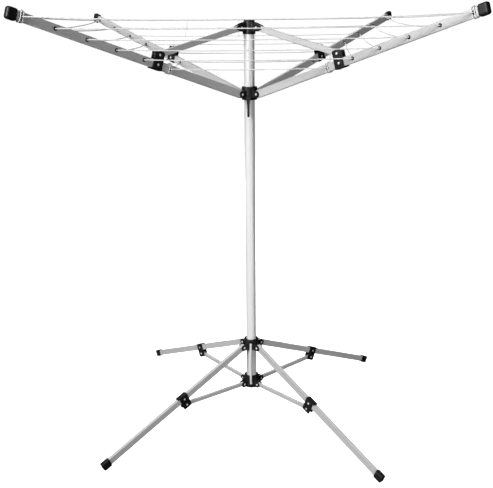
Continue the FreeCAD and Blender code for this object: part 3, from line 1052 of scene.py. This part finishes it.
@dataclass
class Ties:
    """What holds the line: turns and a knot of line round the front arms, and two spacer strips at the back.

    Attributes:
        shop: gives the pieces their finish.
        frames: where the arms are.
        line: the washing line.
        strips: where the strips are, to the right of the mast.
        strip_size: their width and thickness.
        sleeve: the outline of a strip's sleeve, along the line and from it.
        arm_half: half an arm's height.
        turn_gap: how far each turn is from its hole's middle, as a multiple of the line's radius.
        turn_steps: points round a turn.
        knot: a knot's mean radius, and how far it wanders in and out.
        knot_rise: how high it lies on the turns, and how far it wanders up and down.
        knot_steps: points round a knot.
    """

    shop: Shop
    frames: dict[Arm, ArmFrame]
    line: Line
    strips: tuple[float, ...] = (-0.277, -0.045)
    strip_size: tuple[float, float] = (0.0036, 0.0010)
    sleeve: tuple[tuple[float, float], ...] = ((-0.0030, 0.0024), (-0.0024, 0.0030),
                                               (0.0024, 0.0030), (0.0030, 0.0024))
    arm_half: float = 0.0140
    turn_gap: float = 2.15
    turn_steps: int = 56
    knot: tuple[float, float] = (0.0032, 0.0014)
    knot_rise: tuple[float, float] = (0.0022, 0.0013)
    knot_steps: int = 72

    def strip(self, x: float) -> None:
        """A thin strip with a sleeve on each of the three outer back lines, which keeps them apart.

        Args:
            x: where it is, to the right of the mast, in metres.
        """
        spots = []
        for hole in range(3):
            a, b = self.line.mouth(Arm.BR, hole, 1), self.line.mouth(Arm.BL, hole, -1)
            share = (a.x - x) / (a.x - b.x)
            spots.append(a.lerp(b, share) - UP * (4 * BACK * share * (1 - share)))
        along = (b - a).normalized()
        pieces = [turned_piece("sleeve", spot, along, list(self.sleeve)) for spot in spots]
        for near, far in zip(spots, spots[1:]):
            down = far - near
            pieces.append(block((near + far) / 2, (along, down.cross(along), down),
                                (*self.strip_size, down.length)))
        name = f"spacer_{round(-1000 * x)}"
        obj = self.shop.finish_piece(join(pieces, name), "line_cord", "arm_bl")
        ends = [self.line.half(Span(Arm.BR, hole, Arm.BL, hole, BACK), False)[-1] for hole in range(3)]
        keep = sum(self.line.fold_share(Arm.BL, end) for end in ends) / len(ends)
        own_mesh(obj)

    def turns(self, arm: Arm, hole: int) -> None:
        """Two turns of line round an arm, one on each side of a hole's line, knotted on top.

        Args:
            arm: the arm.
            hole: the hole that the turns go round beside.
        """
        frame = self.frames[arm]
        upward = frame.out.cross(frame.side)
        middle = frame.holes[hole]
        wide = frame.half + LINE_RADIUS + 0.0002
        high = self.arm_half + LINE_RADIUS
        for k, shift in enumerate((-self.turn_gap * LINE_RADIUS, self.turn_gap * LINE_RADIUS)):
            path = []
            for step in range(self.turn_steps):
                angle = math.tau * step / self.turn_steps
                x, z = math.cos(angle), math.sin(angle)
                path.append(middle + frame.out * shift
                            + frame.side * math.copysign(abs(x) ** 0.3, x) * wide
                            + upward * math.copysign(abs(z) ** 0.3, z) * high)
            self.shop.finish_piece(tube_mesh(f"turn_{arm.value}_{hole}_{k}", path, LINE_RADIUS, closed=True),
                                   "line_cord", f"arm_{arm.value}")
        knot = []
        for step in range(self.knot_steps):
            t = math.tau * step / self.knot_steps
            ring = self.knot[0] + self.knot[1] * math.cos(3 * t)
            knot.append(middle + upward * (high + self.knot_rise[0] + self.knot_rise[1] * math.sin(3 * t))
                        + frame.out * ring * math.cos(2 * t) + frame.side * ring * math.sin(2 * t))
        self.shop.finish_piece(tube_mesh(f"knot_{arm.value}_{hole}", knot, LINE_RADIUS * 0.85, 8, True),
                               "line_cord", f"arm_{arm.value}")

    def build(self) -> None:
        """Makes the turns at both ends of both front arms, and the strips."""
        for arm in (Arm.FL, Arm.FR):
            self.turns(arm, 0)
            self.turns(arm, HOLES - 1)
        for x in self.strips:
            self.strip(x)


@dataclass(frozen=True)
class Lamp:
    """One soft square light.

    Attributes:
        name: the light's name.
        place: where it is.
        aim: the point that it faces.
        size: its edge length.
        power: its power, in watts.
        in_gloss: whether shiny surfaces mirror it.
    """

    name: str
    place: tuple[float, float, float]
    aim: tuple[float, float, float]
    size: float
    power: float
    in_gloss: bool = True

    def build(self) -> None:
        """Puts the light into the scene."""
        data = bpy.data.lights.new(self.name, "AREA")
        data.size = self.size
        data.energy = self.power
        lamp = bpy.data.objects.new(self.name, data)
        lamp.location = self.place
        lamp.rotation_mode = "QUATERNION"
        lamp.rotation_quaternion = (Vector(self.aim) - Vector(self.place)).to_track_quat("-Z", "Y")
        lamp.visible_glossy = self.in_gloss
        bpy.context.scene.collection.objects.link(lamp)


LAMPS = (
    Lamp("key", (-3.6, -4.2, 3.6), (0, 0, 0.9), 2.4, 460.0),
    Lamp("top", (-0.8, -0.4, 5.0), (0, 0, 0.6), 2.0, 50.0),
    Lamp("fill", (1.5, -1.9, 0.25), (0, 0, 0.15), 1.2, 36.0, in_gloss=False),
    Lamp("behind", (0.0, 5.2, 3.0), (0, 0, 0.9), 3.0, 330.0, in_gloss=False),
)


@dataclass(frozen=True)
class Studio:
    """Floor, lights and camera.

    Attributes:
        distance: level distance from the camera to the mast.
        height: the camera's height.
        pitch: how far it looks down, in radians.
        yaw: how far it is turned, in radians.
        roll: how far it leans, in radians.
        lens: focal length for the sensor, in millimetres.
        sensor: the sensor's width, in millimetres.
        rim: the floor's radius.
        bend: the radius of the curve from the floor up to the backdrop.
        wall: the backdrop's height.
        sides: faces round the floor.
    """

    distance: float = 2.9
    height: float = 1.5657
    pitch: float = 0.2808
    yaw: float = 0.0056
    roll: float = -0.0088
    lens: float = 55.11578
    sensor: float = 36.0
    rim: float = 16.0
    bend: float = 6.0
    wall: float = 30.0
    sides: int = 96

    def camera(self) -> None:
        """Places the camera."""
        data = bpy.data.cameras.new("view")
        data.lens = self.lens
        data.sensor_width = self.sensor
        data.clip_start, data.clip_end = 0.1, 60.0
        cam = bpy.data.objects.new("view", data)
        bpy.context.scene.collection.objects.link(cam)
        ahead = Vector((-math.sin(self.yaw) * math.cos(self.pitch), math.cos(self.yaw) * math.cos(self.pitch),
                        -math.sin(self.pitch)))
        level = Vector((math.cos(self.yaw), math.sin(self.yaw), 0))
        upward = level.cross(ahead)
        right = level * math.cos(self.roll) + upward * math.sin(self.roll)
        top = upward * math.cos(self.roll) - level * math.sin(self.roll)
        turn = Matrix((right, top, -ahead)).transposed()
        cam.matrix_world = Matrix.Translation((0, -self.distance, self.height)) @ turn.to_4x4()
        bpy.context.scene.camera = cam

    def floor(self) -> None:
        """A round pale floor whose rim curves up into a backdrop, lit to the same white all over."""
        bend, flat = self.bend, self.rim - self.bend
        profile = [(0.05, 0.0), (flat, 0.0)]
        profile += [(flat + bend * math.sin(t), bend - bend * math.cos(t))
                    for t in (math.pi / 2 * k / 12 for k in range(1, 13))]
        profile.append((self.rim, self.wall))
        spokes = [(math.cos(t), math.sin(t)) for t in (math.tau * k / self.sides for k in range(self.sides))]
        mesh = bmesh.new()
        rings = [[mesh.verts.new((radius * x, radius * y, z)) for x, y in spokes] for radius, z in profile]
        mesh.faces.new(rings[0])
        for low, high in zip(rings, rings[1:]):
            for k in range(self.sides):
                after = (k + 1) % self.sides
                mesh.faces.new((low[k], high[k], high[after], low[after]))
        floor = link_mesh(mesh, "floor")
        mat = bpy.data.materials.new("floor")
        mat.use_nodes = True
        shader = mat.node_tree.nodes["Principled BSDF"]
        shader.inputs["Base Color"].default_value = (0.93, 0.93, 0.93, 1)
        shader.inputs["Roughness"].default_value = 0.95
        shader.inputs["Specular IOR Level"].default_value = 0.0
        shader.inputs["Emission Color"].default_value = (1, 1, 1, 1)
        shader.inputs["Emission Strength"].default_value = 0.95
        floor.data.materials.append(mat)
        floor.visible_diffuse = False
        floor.visible_glossy = False

    def room(self) -> None:
        """The studio round the object: bright on the left and dim on the right."""
        world = bpy.data.worlds.new("studio")
        world.use_nodes = True
        nodes, links = world.node_tree.nodes, world.node_tree.links
        coords = nodes.new("ShaderNodeTexCoord")
        parts = nodes.new("ShaderNodeSeparateXYZ")
        fall = nodes.new("ShaderNodeMapRange")
        fall.interpolation_type = "SMOOTHSTEP"
        sky = nodes["Background"]
        sky.inputs["Color"].default_value = (1, 1, 1, 1)
        fall.inputs["From Min"].default_value = -0.9
        fall.inputs["From Max"].default_value = 0.8
        fall.inputs["To Min"].default_value = 0.08
        fall.inputs["To Max"].default_value = 0.0
        links.new(coords.outputs["Generated"], parts.inputs["Vector"])
        links.new(parts.outputs["X"], fall.inputs["Value"])
        links.new(fall.outputs["Result"], sky.inputs["Strength"])
        bpy.context.scene.world = world

    def build(self) -> None:
        """Sets up the whole studio."""
        self.camera()
        self.floor()
        self.room()
        for lamp in LAMPS:
            lamp.build()
        bpy.context.scene.view_settings.view_transform = "Standard"


def main() -> None:
    """Loads the frame and dresses it."""
    logging.basicConfig(level=logging.INFO, format="%(message)s")
    bpy.ops.object.select_all(action="DESELECT")
    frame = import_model()
    Studio().build()
    shop = Shop()
    joints = {joint["name"]: joint for joint in frame["joints"]}
    frames = {arm: ArmFrame.read(arm) for arm in Arm}
    line = Line(shop, frames, joints)
    log.info("line: %.2f m in all", line.build())
    Ties(shop, frames, line).build()
    Tubes(shop).build()
    Mouldings(shop, joints).build()
    Bolts(shop, joints).build()


if __name__ == "__main__":
    main()
